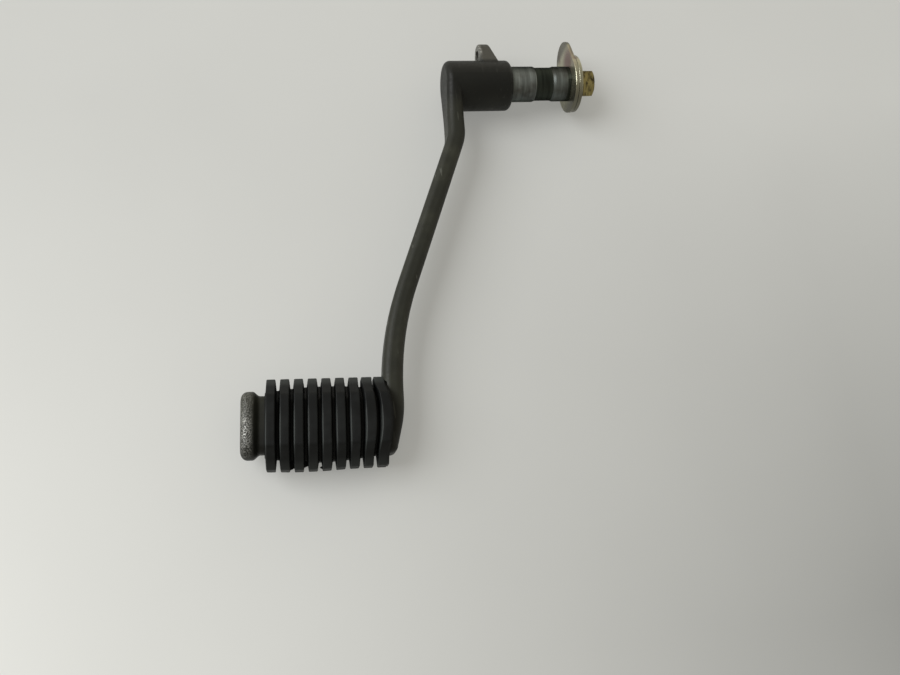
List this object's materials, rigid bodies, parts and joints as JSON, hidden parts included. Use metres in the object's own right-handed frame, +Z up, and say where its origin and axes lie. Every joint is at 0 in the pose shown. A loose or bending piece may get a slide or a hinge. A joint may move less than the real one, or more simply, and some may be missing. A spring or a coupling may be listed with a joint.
{
  "type": "motorcycle rear brake pedal",
  "caption": "Motorcycle foot brake pedal: a bent forged arm with a ribbed rubber pad at one end and a hub with a linkage lug and a pivot shaft, closed by a keyed plate and bolt, at the other.",
  "frame": {"origin": "on the pivot shaft's axis, at the hub's inboard face", "axes": "+X along the pivot shaft towards the middle of the bike, +Y to the rear, +Z up; the pad lies forward and outboard"},
  "size_m": [0.1767, 0.2016, 0.028],
  "materials": {
    "black_paint": "matt, lightly worn",
    "worn_steel": "turned, worn in bands",
    "black_rubber": "matt",
    "zinc_plate": "zinc plated, stained",
    "yellow_zinc": "yellow zinc plated"
  },
  "bodies": {
    "root": {"pedal_forging": "black_paint", "pivot_shaft": "worn_steel", "pad_rubber": "black_rubber", "stop_plate": "zinc_plate", "plain_washer": "zinc_plate", "spring_washer": "zinc_plate", "end_bolt": "yellow_zinc"}
  },
  "joints": []
}
